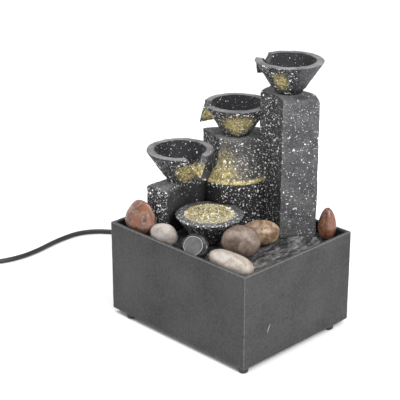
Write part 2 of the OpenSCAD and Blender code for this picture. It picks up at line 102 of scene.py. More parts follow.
# ---------------------------------------------------------------- node helpers
class Tree:
    """Builds one material's nodes. Each method returns an output socket."""

    def __init__(self, name):
        self.material = bpy.data.materials.new(name)
        self.material.use_nodes = True
        self.nodes = self.material.node_tree.nodes
        self.links = self.material.node_tree.links
        self.shader = self.nodes["Principled BSDF"]
        self.coords = self.add("ShaderNodeTexCoord").outputs["Object"]

    def add(self, kind, ins=None, **props):
        made = self.nodes.new(kind)
        for key, value in props.items():
            setattr(made, key, value)
        for key, value in (ins or {}).items():
            self.put(made.inputs[key], value)
        return made

    def put(self, socket, value):
        if isinstance(value, bpy.types.NodeSocket):
            self.links.new(value, socket)
        else:
            socket.default_value = value

    def math(self, operation, a, b=0.0, c=0.0, clamp=False):
        made = self.add("ShaderNodeMath", {0: a, 1: b, 2: c}, operation=operation, use_clamp=clamp)
        return made.outputs[0]

    def times(self, a, b):
        return self.math("MULTIPLY", a, b)

    def plus(self, a, b):
        return self.math("ADD", a, b)

    def step(self, value, low, high):
        """0 below low, 1 above high, smooth between."""
        made = self.add("ShaderNodeMapRange", {"Value": value, "From Min": low, "From Max": high},
                        interpolation_type="SMOOTHSTEP")
        return made.outputs["Result"]

    def spread(self, value, low, high, to_low, to_high):
        made = self.add("ShaderNodeMapRange", {"Value": value, "From Min": low, "From Max": high,
                                               "To Min": to_low, "To Max": to_high})
        return made.outputs["Result"]

    def mix(self, share, a, b):
        """A colour: a where share is 0, b where it is 1."""
        made = self.add("ShaderNodeMix", {"Factor": share}, data_type="RGBA")
        for key, value in ((6, a), (7, b)):
            if not isinstance(value, bpy.types.NodeSocket):
                value = (*value, 1.0)
            self.put(made.inputs[key], value)
        return made.outputs[2]

    def noise(self, size, detail=4.0, rough=0.55, stretch=None, turn=(0, 0, 0), warp=0.0):
        """Cloudy noise whose main features are size metres across."""
        at = self.coords
        if stretch or any(turn):
            made = self.add("ShaderNodeMapping", {"Vector": at, "Rotation": turn,
                                                  "Scale": stretch or (1, 1, 1)})
            at = made.outputs[0]
        made = self.add("ShaderNodeTexNoise", {"Vector": at, "Scale": 1 / size, "Detail": detail,
                                               "Roughness": rough, "Distortion": warp})
        return made.outputs["Fac"]

    def attribute(self, name):
        made = self.add("ShaderNodeAttribute", attribute_name=name, attribute_type="GEOMETRY")
        return made.outputs["Fac"]

    def shaken(self, amount, size):
        """The coordinates, pushed about by up to amount metres."""
        cloud = self.add("ShaderNodeTexNoise", {"Vector": self.coords, "Scale": 1 / size, "Detail": 2.0})
        centred = self.add("ShaderNodeVectorMath", {0: cloud.outputs["Color"], 1: (0.5, 0.5, 0.5)},
                           operation="SUBTRACT")
        scaled = self.add("ShaderNodeVectorMath", {0: centred.outputs[0], "Scale": 2 * amount},
                          operation="SCALE")
        moved = self.add("ShaderNodeVectorMath", {0: self.coords, 1: scaled.outputs[0]}, operation="ADD")
        return moved.outputs[0]

    def specks(self, cell, largest, share, shake=0.0006):
        """Spattered dots: one to a cell metres wide, share of the cells having one."""
        made = self.add("ShaderNodeTexVoronoi", {"Vector": self.shaken(shake, cell * 0.6),
                                                 "Scale": 1 / cell, "Randomness": 1.0})
        parts = self.add("ShaderNodeSeparateColor", {0: made.outputs["Color"]})
        left = self.math("SUBTRACT", self.plus(parts.outputs[0], share), 1.0)
        radius = self.times(self.math("POWER", self.math("MAXIMUM", left, 0.0), 0.5), largest / cell)
        inside = self.math("SUBTRACT", radius, made.outputs["Distance"])
        return self.step(inside, 0.0, 0.06)

    def bump(self, height, distance, strength=1.0, under=None):
        ins = {"Height": height, "Distance": distance, "Strength": strength}
        if under is not None:
            ins["Normal"] = under
        return self.add("ShaderNodeBump", ins).outputs[0]

    def finish(self, colour=None, rough=None, metal=None, normal=None, **fixed):
        for key, value in (("Base Color", colour), ("Roughness", rough),
                           ("Metallic", metal), ("Normal", normal)):
            if value is not None:
                self.put(self.shader.inputs[key], value)
        for key, value in fixed.items():
            self.shader.inputs[key.replace("_", " ")].default_value = value
        return self.material


# ---------------------------------------------------------------- materials
def cast_paint():
    """Cast stone: black ground, dry-brushed grey with painted light on right-facing faces, patches of gold
    with painted glints and a painted highlight, near-black with painted shade, and white spatter.
    """
    t = Tree("cast_paint")
    speck, gold, pale, dark = (t.attribute(n) for n in ("speck", "gold", "pale", "dark"))
    fine = t.noise(0.0022, 5, 0.7)
    broad = t.noise(0.017, 4, 0.6)
    ground = t.mix(t.step(fine, 0.35, 0.72), (0.010, 0.010, 0.012), (0.040, 0.040, 0.044))
    brushed = t.mix(t.step(broad, 0.32, 0.68), (0.085, 0.085, 0.090), (0.20, 0.20, 0.205))
    cover = t.step(t.plus(pale, t.times(t.math("SUBTRACT", fine, 0.5), 0.55)), 0.10, 0.95)
    colour = t.mix(cover, ground, brushed)
    # dark: near-black for bowl insides and the column below the low tier, and painted shade at bowl feet
    # and beside the catch bowl.
    colour = t.mix(dark, colour, (0.006, 0.006, 0.008))
    patch = t.plus(t.times(t.math("SUBTRACT", t.noise(0.0045, 5, 0.7), 0.5), 1.1), gold)
    patch = t.times(t.step(patch, 0.05, 0.95), 0.92)
    gilt_and_glints = t.mix(t.step(t.noise(0.0035, 4, 0.7), 0.34, 0.64), (0.13, 0.102, 0.032), (0.51, 0.415, 0.150))
    # Painted glints: small bright flecks in the gold stand in for its metallic highlights.
    gilt_and_glints = t.mix(t.step(t.noise(0.0018, 3, 0.6), 0.54, 0.70), gilt_and_glints, (0.90, 0.82, 0.55))
    colour = t.mix(patch, colour, gilt_and_glints)
    spatter = t.step(t.plus(t.noise(0.0030, 1, 0.5), t.times(speck, 0.10)), 0.775, 0.80)
    mist = t.step(t.plus(t.noise(0.0013, 1, 0.5), t.times(speck, 0.11)), 0.745, 0.80)
    dots = t.math("MAXIMUM", t.specks(0.0044, 0.0014, t.times(speck, 0.62)),
                  t.math("MAXIMUM", spatter, t.times(mist, 0.75)))
    colour = t.mix(dots, colour, (0.80, 0.80, 0.79))
    rough = t.mix(patch, (0.66, 0.66, 0.66), (0.46, 0.46, 0.46))
    normal = t.bump(fine, 0.0005, 0.7)
    normal = t.bump(dots, 0.00015, 0.6, normal)
    return t.finish(colour, rough, t.times(patch, 0.22), normal, Specular_IOR_Level=0.30)


def slate_finish():
    """Dark grey resin with a fine brushed slate texture, edges worn pale and a painted highlight along the
    top of the rim.
    """
    t = Tree("slate_finish")
    mottle = t.noise(0.0022, 6, 0.72)
    cloud = t.noise(0.045, 3, 0.5)
    strokes = t.noise(0.0040, 4, 0.6, (1.0, 0.45, 0.45), (0.9, 0.5, 1.1), 1.2)
    tone = t.plus(t.times(mottle, 0.55), t.plus(t.times(cloud, 0.27), t.times(strokes, 0.18)))
    colour = t.mix(t.step(tone, 0.36, 0.64), (0.011, 0.011, 0.011), (0.042, 0.042, 0.042))
    scuffs = t.step(t.noise(0.0026, 2, 0.5, (1.0, 1.0, 0.10), (0.9, 0.2, 0.7), 1.2), 0.70, 0.80)
    colour = t.mix(t.times(scuffs, 0.35), colour, (0.10, 0.10, 0.10))
    # Edges worn pale, and the rim's top band paler as a painted highlight.
    wear_and_rim_highlight = t.step(t.plus(t.attribute("edge"), t.times(t.math("SUBTRACT", mottle, 0.5), 0.5)), 0.35, 0.95)
    colour = t.mix(t.times(wear_and_rim_highlight, 0.60), colour, (0.17, 0.17, 0.17))
    colour = t.mix(t.attribute("inner"), colour, (0.012, 0.012, 0.013))
    colour = t.mix(scratch(t), colour, (0.32, 0.32, 0.31))
    rough = t.spread(tone, 0.3, 0.7, 0.70, 0.56)
    normal = t.bump(t.plus(t.times(mottle, 0.7), t.times(strokes, 0.25)), 0.00035, 0.55)
    return t.finish(colour, rough, None, normal)


def scratch(t):
    """A short pale scratch low on the right face."""
    middle_y, middle_z = BASIN_MID.y - 0.0412, 0.0362
    lean = math.atan2(9.7, 4.3)
    parts = t.add("ShaderNodeSeparateXYZ", {0: t.coords})
    y = t.math("SUBTRACT", parts.outputs[1], middle_y)
    z = t.math("SUBTRACT", parts.outputs[2], middle_z)
    along = t.plus(t.times(y, math.cos(lean)), t.times(z, math.sin(lean)))
    across = t.math("SUBTRACT", t.times(z, math.cos(lean)), t.times(y, math.sin(lean)))
    thin = t.step(t.math("ABSOLUTE", across), 0.00075, 0.00015)
    short = t.step(t.math("ABSOLUTE", along), 0.0055, 0.0015)
    right = t.step(parts.outputs[0], BASIN_HI.x - 0.003, BASIN_HI.x - 0.001)
    return t.times(t.times(thin, short), right)


def rock():
    """Dark, wet-looking rock with pale streaks."""
    t = Tree("dark_rock")
    streak = t.noise(0.0042, 7, 0.72, (1.0, 0.28, 1.0), (0, 0, math.radians(-20)), 0.9)
    fine = t.noise(0.0014, 4, 0.6)
    colour = t.mix(t.step(streak, 0.42, 0.66), (0.018, 0.017, 0.018), (0.165, 0.158, 0.160))
    colour = t.mix(t.step(streak, 0.58, 0.72), colour, (0.42, 0.41, 0.40))
    dots = t.specks(0.0052, 0.0012, t.times(t.attribute("speck"), 0.4))
    colour = t.mix(dots, colour, (0.82, 0.82, 0.81))
    normal = t.bump(fine, 0.0004, 0.6, t.bump(streak, 0.0012, 0.8))
    return t.finish(colour, 0.5, None, normal)


def stone_finish(name, low, high, blotch, blotch_at, vein=None, grain=0.006, gloss=0.38, stretch=None,
                 pits=0.0):
    """A river stone: two-tone clouds, blotches past a level, and optional veins and pits."""
    t = Tree(name)
    cloud = t.noise(grain * 2.2, 5, 0.6, stretch, (0.3, 0.2, 0.5), 0.5)
    fine = t.noise(grain * 0.30, 5, 0.65)
    colour = t.mix(t.step(t.plus(t.times(cloud, 0.75), t.times(fine, 0.25)), 0.36, 0.64), low, high)
    marks = t.noise(grain, 6, 0.7, stretch, (0.8, 0.1, 0.9), 0.8)
    colour = t.mix(t.times(t.step(marks, blotch_at, blotch_at + 0.14), 0.8), colour, blotch)
    if vein:
        wander = t.noise(grain * 2.6, 3, 0.5, None, (1.1, 0.4, 0), 1.4)
        line = t.math("ABSOLUTE", t.math("SUBTRACT", wander, 0.5))
        colour = t.mix(t.times(t.step(line, 0.016, 0.003), 0.35), colour, vein)
    height = t.plus(t.times(fine, 0.4), t.times(marks, 0.3))
    normal = t.bump(height, 0.00035, 0.55)
    if pits:
        holes = t.specks(0.0030, 0.0009, 3 * pits)
        colour = t.mix(t.times(holes, 0.75), colour, tuple(0.25 * c for c in low))
        normal = t.bump(t.math("SUBTRACT", 1.0, holes), 0.0006, 0.8, normal)
    return t.finish(colour, gloss, None, normal, Coat_Weight=0.12, Coat_Roughness=0.22)


def cut_stone():
    """A black glossy stone with one flat, honed grey face and a paler line round it."""
    t = Tree("black_stone")
    face = t.attribute("face")
    fine = t.noise(0.0011, 4, 0.6)
    body = t.mix(t.step(fine, 0.4, 0.7), (0.006, 0.006, 0.007), (0.022, 0.022, 0.024))
    honed = t.mix(t.step(t.noise(0.007, 4, 0.6), 0.35, 0.7), (0.070, 0.070, 0.072), (0.105, 0.105, 0.108))
    inside = t.step(face, 0.32, 0.38)
    ring = t.times(t.step(face, 0.04, 0.12), t.step(face, 0.30, 0.18))
    colour = t.mix(ring, body, (0.30, 0.30, 0.31))
    colour = t.mix(inside, colour, honed)
    rough = t.mix(inside, (0.20, 0.20, 0.20), (0.52, 0.52, 0.52))
    return t.finish(colour, rough, None, t.bump(fine, 0.00015, 0.5))


def moulded(name, colour, rough=0.42, grain=0.0007, contrast=0.35, depth=0.00006, **fixed):
    """Moulded plastic or rubber: fine grain, slight tone and gloss variation."""
    t = Tree(name)
    fine = t.noise(grain, 3, 0.6)
    broad = t.noise(0.012, 3, 0.5)
    tone = t.plus(t.times(fine, 0.5), t.times(broad, 0.5))
    shade = tuple(c * (1 - contrast) for c in colour)
    light = tuple(min(1.0, c * (1 + contrast) + 0.004) for c in colour)
    surface = t.mix(t.step(tone, 0.35, 0.65), shade, light)
    gloss = t.spread(broad, 0.3, 0.7, rough * 0.85, min(1.0, rough * 1.15))
    return t.finish(surface, gloss, None, t.bump(fine, depth, 0.6), **fixed)


def foam():
    t = Tree("sponge_foam")
    cells = t.add("ShaderNodeTexVoronoi", {"Vector": t.coords, "Scale": 900.0}).outputs["Distance"]
    colour = t.mix(t.step(cells, 0.15, 0.6), (0.008, 0.014, 0.028), (0.045, 0.075, 0.13))
    return t.finish(colour, 0.92, None, t.bump(cells, 0.0006, 1.0))


def metal(name, colour, rough):
    t = Tree(name)
    lines = t.noise(0.0006, 3, 0.6, (0.08, 1, 1))
    surface = t.mix(t.step(lines, 0.3, 0.7), tuple(c * 0.86 for c in colour), colour)
    return t.finish(surface, rough, 1.0, t.bump(lines, 0.00002, 0.5))


CAST = cast_paint()
SLATE = slate_finish()
ROCK = rock()
RUBBER = moulded("black_rubber", (0.016, 0.016, 0.017), 0.62, 0.0005, 0.4, 0.00010)
JACKET = moulded("cord_jacket", (0.010, 0.010, 0.011), 0.40, 0.0009, 0.4, 0.00005)
PUMP_BLACK = moulded("pump_plastic", (0.020, 0.020, 0.022), 0.44, 0.0006, 0.4, 0.00008)
LID_GREY = moulded("lid_plastic", (0.045, 0.046, 0.050), 0.46, 0.0006, 0.3, 0.00008)
IVORY = moulded("impeller_plastic", (0.66, 0.65, 0.60), 0.40, 0.0008, 0.08)
TUBE = moulded("milky_tube", (0.62, 0.66, 0.66), 0.28, 0.0010, 0.06, 0.00004,
               Transmission_Weight=0.35, IOR=1.45)
FERRITE = moulded("ferrite", (0.050, 0.050, 0.055), 0.55, 0.0004, 0.3, 0.00010)
CERAMIC = moulded("shaft_ceramic", (0.82, 0.82, 0.78), 0.16, 0.0006, 0.04, 0.00002)
WINDING = moulded("potted_winding", (0.20, 0.085, 0.030), 0.36, 0.0008, 0.4, 0.00012)
FOAM = foam()
PLATED = metal("plated_pins", (0.74, 0.73, 0.70), 0.26)


# ---------------------------------------------------------------- mesh helpers
def new_object(name, mesh, material, body, slot, *replaced):
    made = bpy.data.objects.new(name, mesh)
    bpy.context.scene.collection.objects.link(made)
    mesh.materials.clear()
    mesh.materials.append(material)
    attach(made, body)
    if replaced:
        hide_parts(*replaced)
    return made


def points_of(mesh):
    co = np.zeros(len(mesh.vertices) * 3, np.float32)
    mesh.vertices.foreach_get("co", co)
    return co.reshape(-1, 3).astype(float)


def normals_of(mesh):
    n = np.zeros(len(mesh.vertices) * 3, np.float32)
    mesh.vertices.foreach_get("normal", n)
    return n.reshape(-1, 3).astype(float)


def put_points(mesh, co):
    mesh.vertices.foreach_set("co", co.astype(np.float32).ravel())
    mesh.update()


def put_attribute(mesh, name, values):
    made = mesh.attributes.new(name, "FLOAT", "POINT")
    made.data.foreach_set("value", np.clip(values, 0, 4).astype(np.float32))


def cloud(co, size, octaves=3, seed=0.0):
    """Fractal noise in about -1..1 at each point, with features size metres across."""
    shift = Vector((seed * 7.3, seed * 3.1, seed * 5.7))
    return np.array([noise.fractal(Vector(p) / size + shift, 0.9, 2.1, octaves) for p in co])


def ramp(x, low, high):
    t = np.clip((x - low) / (high - low), 0, 1)
    return t * t * (3 - 2 * t)


def recast(name, nodes, voxel, rounding):
    """One even mesh of these CAD nodes with their edges rounded, as a casting has."""
    whole = bmesh.new()
    for node in nodes:
        whole.from_mesh(NODES[node].data)
    bmesh.ops.remove_doubles(whole, verts=whole.verts, dist=1e-6)
    rough_mesh = bpy.data.meshes.new(name + "_rough")
    whole.to_mesh(rough_mesh)
    whole.free()
    scratch_object = bpy.data.objects.new(name + "_rough", rough_mesh)
    bpy.context.scene.collection.objects.link(scratch_object)
    remesh = scratch_object.modifiers.new("remesh", "REMESH")
    remesh.mode = "VOXEL"
    remesh.voxel_size = voxel
    smooth = scratch_object.modifiers.new("smooth", "SMOOTH")
    smooth.factor = 0.5
    smooth.iterations = rounding
    depsgraph = bpy.context.evaluated_depsgraph_get()
    mesh = bpy.data.meshes.new_from_object(scratch_object.evaluated_get(depsgraph))
    bpy.data.objects.remove(scratch_object)
    mesh.name = name
    mesh.shade_smooth()
    return mesh


def lathe(profile, sides, axis, at):
    """A closed turned mesh: profile is (radius, along) pairs from one end to the other."""
    made = bmesh.new()
    turn = Vector((0, 0, 1)).rotation_difference(Vector(axis)).to_matrix().to_4x4()
    place = Matrix.Translation(at) @ turn
    rows = []
    for radius, along in profile:
        if radius < 1e-7:
            rows.append([made.verts.new(place @ Vector((0, 0, along)))])
        else:
            rows.append([made.verts.new(place @ Vector((radius * math.cos(a), radius * math.sin(a), along)))
                         for a in (2 * math.pi * i / sides for i in range(sides))])
    for low, high in zip(rows, rows[1:]):
        for i in range(sides):
            j = (i + 1) % sides
            if len(low) == 1:
                made.faces.new((low[0], high[j], high[i]))
            elif len(high) == 1:
                made.faces.new((low[i], low[j], high[0]))
            else:
                made.faces.new((low[i], low[j], high[j], high[i]))
    bmesh.ops.recalc_face_normals(made, faces=made.faces)
    mesh = bpy.data.meshes.new("turned")
    made.to_mesh(mesh)
    made.free()
    mesh.shade_smooth()
    return mesh


# ---------------------------------------------------------------- cords
CORD_D = 0.005
COIL_AT = middle("cord_coil")

# Points listed in mm in the basin's frame. They repeat the part's own routes.
CORD_ROUTE = [(-40, 97.5, 70), (-40, 104, 70), (-41, 111, 67), (-43, 118, 59), (-46, 123, 46),
              (-50, 126, 32), (-56, 127, 18), (-66, 126, 8), (-80, 122, 3.5), (-98, 115, 2.5),
              (-125, 104, 2.5), (-160, 90, 2.5), (-195, 76, 2.5), (-222, 65, 2.5), (-241, 53, 2.5),
              (-254, 41, 2.5), (-262, 26, 2.5), (-264, 8, 2.5), (-262, -14, 2.5), (-258, -37, 2.5),
              (-257, -57, 2.5), (-260, -75, 2.5), (-266, -90, 2.5), (-275, -104.5, 2.5)]
LEAD_ROUTE = [(-10.7, 55.7, 29), (-16, 55.7, 29), (-24, 56, 31), (-31, 56, 38), (-36, 56, 48),
              (-39, 57, 60), (-40, 60.5, 67), (-40, 64, 69.6), (-40, 68.5, 70), (-40, 73, 70)]


def spline(points, pieces):
    """A smooth line through the points."""
    p = [Vector(q) for q in points]
    line = []
    for i in range(len(p) - 1):
        a, b, c, d = p[max(i - 1, 0)], p[i], p[i + 1], p[min(i + 2, len(p) - 1)]
        for k in range(pieces):
            t = k / pieces
            line.append(0.5 * (2 * b + (c - a) * t + (2 * a - 5 * b + 4 * c - d) * t * t
                               + (3 * b - a - 3 * c + d) * t ** 3))
    return line + [p[-1]]


def from_basin(route):
    """Millimetres in the basin's frame to metres in the row frame."""
    return [(x * MM, y * MM + BASIN_MID.y, z * MM) for x, y, z in route]


def ease(x):
    x = min(max(x, 0.0), 1.0)
    return x * x * (3 - 2 * x)


def coil_turns():
    """About five turns, packed two wide and three high, as (points, heading of the last one).
    The cord changes radius and level by turns, each time a little earlier in its round."""
    first, last, step = 152, 1964, 6
    inner, outer = 0.0255, 0.0305
    first_change, earlier, window = 449, 20, 50
    changes = [first_change + (360 - earlier) * i for i in range(5)]
    line = []
    for angle in range(first, last + 1, step):
        radius, level = outer, 0.0
        for i, start in enumerate(changes):
            share = ease((angle - start) / window)
            if i % 2:
                level += CORD_D * share
            else:
                radius += (inner - radius if i % 4 == 0 else outer - radius) * share
        a = math.radians(angle)
        line.append((COIL_AT.x + radius * math.cos(a), COIL_AT.y + radius * math.sin(a),
                     CORD_D / 2 + level))
    return line, Vector((-math.sin(a), math.cos(a), 0))


def swept(start, heading, end, arrival, start_pull, end_pull, pieces):
    """Points on one smooth curve that leaves start along heading and reaches end along arrival."""
    chord = (end - start).length
    line = []
    for i in range(1, pieces + 1):
        t = i / pieces
        leaving = (t ** 3 - 2 * t * t + t) * chord * start_pull
        arriving = (t ** 3 - t * t) * chord * end_pull
        line.append((2 * t ** 3 - 3 * t * t + 1) * start + leaving * heading
                    + (3 * t * t - 2 * t ** 3) * end + arriving * arrival)
    return line


def cord_object(name, line, material, slot, *replaced):
    data = bpy.data.curves.new(name, "CURVE")
    data.dimensions = "3D"
    data.bevel_depth = CORD_D / 2
    data.bevel_resolution = 4
    data.use_fill_caps = True
    stretch = data.splines.new("POLY")
    stretch.points.add(len(line) - 1)
    for point, at in zip(stretch.points, line):
        point.co = (*at, 1)
    data.materials.append(material)
    made = bpy.data.objects.new(name, data)
    bpy.context.scene.collection.objects.link(made)
    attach(made, "basin")
    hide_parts(*replaced)
    return made


PLUG_LO, PLUG_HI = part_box("plug_body")
PLUG_Z = (PLUG_LO.z + PLUG_HI.z) / 2
PLUG_Y = (PLUG_LO.y + PLUG_HI.y) / 2
TAIL = 0.014


def power_cord():
    turns, heading = coil_turns()
    along_x = Vector((1, 0, 0))
    tail = Vector((PLUG_LO.x, PLUG_Y, PLUG_Z))
    rise = swept(Vector(turns[-1]), heading, tail, along_x, start_pull=1.5, end_pull=1.2, pieces=9)
    line = spline(from_basin(CORD_ROUTE) + turns[::2] + rise + [tail + 0.004 * along_x], 4)
    made = cord_object("power_cord_line", line, JACKET, "cord_jacket", "power_cord", "cord_coil")
    return made, line


cord_piece, cord_line = power_cord()
lead_line = spline(from_basin(LEAD_ROUTE), 6)
lead_piece = cord_object("pump_lead_line", lead_line, JACKET, "cord_jacket", "pump_lead")


# ---------------------------------------------------------------- pieces on the cord
def strain_relief():
    """A tapered, ribbed sleeve where the cord leaves the back wall."""
    lo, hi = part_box("strain_relief")
    length, widest = hi.y - lo.y, (hi.x - lo.x) / 2
    at = Vector(((lo.x + hi.x) / 2, lo.y, (lo.z + hi.z) / 2))
    profile = [(0, 0), (widest - 0.0003, 0), (widest, 0.0004), (widest, 0.0028), (widest - 0.0004, 0.0032)]
    ribs = 7
    start, step = 0.0034, (length - 0.0044) / ribs
    for i in range(ribs):
        outer = widest - 0.0003 - 0.0011 * i / ribs
        z = start + i * step
        profile += [(outer - 0.0007, z), (outer - 0.0007, z + step * 0.32), (outer, z + step * 0.42),
                    (outer - 0.0001, z + step * 0.85)]
    profile += [(widest - 0.0016, length - 0.0006), (widest - 0.0020, length), (0, length)]
    return new_object("strain_relief_sleeve", lathe(profile, 40, (0, 1, 0), at), RUBBER, "basin",
                      "cord_jacket", "strain_relief")


def grommet():
    lo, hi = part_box("cable_grommet")
    r = (hi.x - lo.x) / 2
    at = Vector(((lo.x + hi.x) / 2, lo.y, (lo.z + hi.z) / 2))
    length = hi.y - lo.y
    inner, flange = CORD_D / 2, 0.0015
    neck = r - 0.0015
    profile = [(inner, 0), (r - 0.0005, 0), (r, 0.0005), (r, flange),
               (neck, flange), (neck, length - flange), (r, length - flange),
               (r, length - 0.0006), (r - 0.0006, length), (inner, length), (inner, 0)]
    return new_object("grommet_ring", lathe(profile, 48, (0, 1, 0), at), RUBBER, "basin",
                      "pump_rubber", "cable_grommet")


def rounded_block(size, at, radius, cuts=3):
    made = bmesh.new()
    bmesh.ops.create_cube(made, size=1.0)
    bmesh.ops.scale(made, vec=size, verts=made.verts)
    bmesh.ops.bevel(made, geom=made.edges[:], offset=radius, segments=cuts, profile=0.5, affect="EDGES")
    bmesh.ops.translate(made, vec=at, verts=made.verts)
    return made


def plug():
    """A moulded flat plug: a rounded block with grip ribs and a ribbed tail."""
    body_x0 = PLUG_LO.x + TAIL
    ribs, grip_start, grip_pitch, tail_start, tail_pitch = 5, -0.007, 0.0024, 0.0008, 0.0025
    size = (PLUG_HI.x - body_x0, PLUG_HI.y - PLUG_LO.y, PLUG_HI.z - PLUG_LO.z)
    at = Vector((body_x0 + size[0] / 2, PLUG_Y, PLUG_Z))
    made = rounded_block(size, at, 0.0022, 4)
    for side in (-1, 1):
        for i in range(ribs):
            rib_at = at + Vector((grip_start + i * grip_pitch, side * (size[1] / 2 - 0.0004), 0))
            rib = rounded_block((0.0011, 0.0012, size[2] * 0.62), rib_at, 0.0004, 2)
            joined = bpy.data.meshes.new("rib")
            rib.to_mesh(joined)
            rib.free()
            made.from_mesh(joined)
            bpy.data.meshes.remove(joined)
    profile = [(0, 0), (0.0033, 0), (0.0036, 0.0003)]
    for i in range(ribs):
        z = tail_start + i * tail_pitch
        profile += [(0.0029 + 0.0002 * i, z), (0.0029 + 0.0002 * i, z + 0.0008),
                    (0.0037 + 0.0002 * i, z + 0.0011), (0.0037 + 0.0002 * i, z + 0.0022)]
    profile += [(0.0046, TAIL + 0.001), (0, TAIL + 0.001)]
    tail = lathe(profile, 32, (1, 0, 0), Vector((PLUG_LO.x, PLUG_Y, PLUG_Z)))
    made.from_mesh(tail)
    mesh = bpy.data.meshes.new("plug")
    made.to_mesh(mesh)
    made.free()
    mesh.shade_smooth()
    return new_object("plug_moulding", mesh, JACKET, "basin", "cord_jacket", "plug_body")


def pins():
    lo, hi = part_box("plug_pins")
    made = bmesh.new()
    thick = 0.0015
    for y in (lo.y + thick / 2, hi.y - thick / 2):
        blade = rounded_block((hi.x - lo.x, thick, hi.z - lo.z),
                              Vector(((lo.x + hi.x) / 2, y, (lo.z + hi.z) / 2)), 0.0005, 3)
        part = bpy.data.meshes.new("blade")
        blade.to_mesh(part)
        blade.free()
        made.from_mesh(part)
        bpy.data.meshes.remove(part)
    mesh = bpy.data.meshes.new("pins")
    made.to_mesh(mesh)
    made.free()
    return new_object("plug_blades", mesh, PLATED, "basin", "pin_metal", "plug_pins")


def tie():
    """A strap round the bundle of turns, flattened where it meets the floor."""
    angle = math.radians(60)
    mid_r, mid_z, floor_z = 0.028, 0.0078, 0.0001
    half_w, half_h, half_length, thick = 0.0056, 0.0075, 0.0028, 0.0009
    squareness = 0.42
    out = Vector((math.cos(angle), math.sin(angle), 0))
    side = Vector((-out.y, out.x, 0))
    centre = Vector((COIL_AT.x, COIL_AT.y, 0)) + out * mid_r
    made = bmesh.new()
    loops = []
    corners = 48
    for grow in (0.0, thick):
        for across in (-half_length, half_length):
            ring = []
            for i in range(corners):
                a = 2 * math.pi * i / corners
                x = math.copysign(abs(math.cos(a)) ** squareness, math.cos(a)) * (half_w + grow)
                z = math.copysign(abs(math.sin(a)) ** squareness, math.sin(a)) * (half_h + grow)
                z = max(z + mid_z, floor_z)
                ring.append(made.verts.new(centre + out * x + side * across + Vector((0, 0, z))))
            loops.append(ring)
    inner_a, inner_b, outer_a, outer_b = loops
    for first, second in ((inner_a, inner_b), (inner_b, outer_b), (outer_b, outer_a), (outer_a, inner_a)):
        for i in range(corners):
            j = (i + 1) % corners
            made.faces.new((first[i], first[j], second[j], second[i]))
    bmesh.ops.recalc_face_normals(made, faces=made.faces)
    mesh = bpy.data.meshes.new("tie")
    made.to_mesh(mesh)
    made.free()
    mesh.shade_smooth()
    return new_object("cord_tie_strap", mesh, RUBBER, "basin", "cord_jacket", "cord_tie")


sleeve_piece, plug_piece, pins_piece, tie_piece = strain_relief(), plug(), pins(), tie()
grommet()


# ---------------------------------------------------------------- basin
def basin():
    """The slate-finished box: slightly uneven faces, edges worn pale, a painted highlight along the rim's
    top, dark inside.
    """
    mesh = recast("basin_shell", ["basin"], 0.0013, 1)
    co, n = points_of(mesh), normals_of(mesh)
    uneven = 0.00012 * cloud(co, 0.011, 3, 1) + 0.00007 * cloud(co, 0.003, 2, 2)
    put_points(mesh, co + n * uneven[:, None] - n * 0.00008)
    lo, hi = np.array(BASIN_LO), np.array(BASIN_HI)
    to_side = np.minimum(co[:, 0] - lo[0], hi[0] - co[:, 0])
    to_face = np.minimum(co[:, 1] - lo[1], hi[1] - co[:, 1])
    outer = np.minimum(to_side, to_face)
    to_top, to_bottom = hi[2] - co[:, 2], co[:, 2] - lo[2]
    corner = np.maximum(to_side, to_face)
    edge = np.maximum(1 - corner / 0.0022, np.maximum(1 - np.hypot(outer, to_top) / 0.0024,
                                                      1 - np.hypot(outer, to_bottom) / 0.0018))
    # Painted highlight: a pale line along the top of the rim, where light catches the edge.
    rim = ramp(-to_top, -0.0012, -0.0003) * 0.50
    put_attribute(mesh, "edge", np.maximum(edge, rim))
    inside = ramp(outer, 0.0025, 0.0036) * ramp(to_top, 0.0006, 0.0020)
    put_attribute(mesh, "inner", inside)
    return new_object("basin_shell", mesh, SLATE, "basin", "slate_finish", "basin")


# ---------------------------------------------------------------- tower
def facing(n, toward):
    return n[:, 0] * toward[0] + n[:, 1] * toward[1]


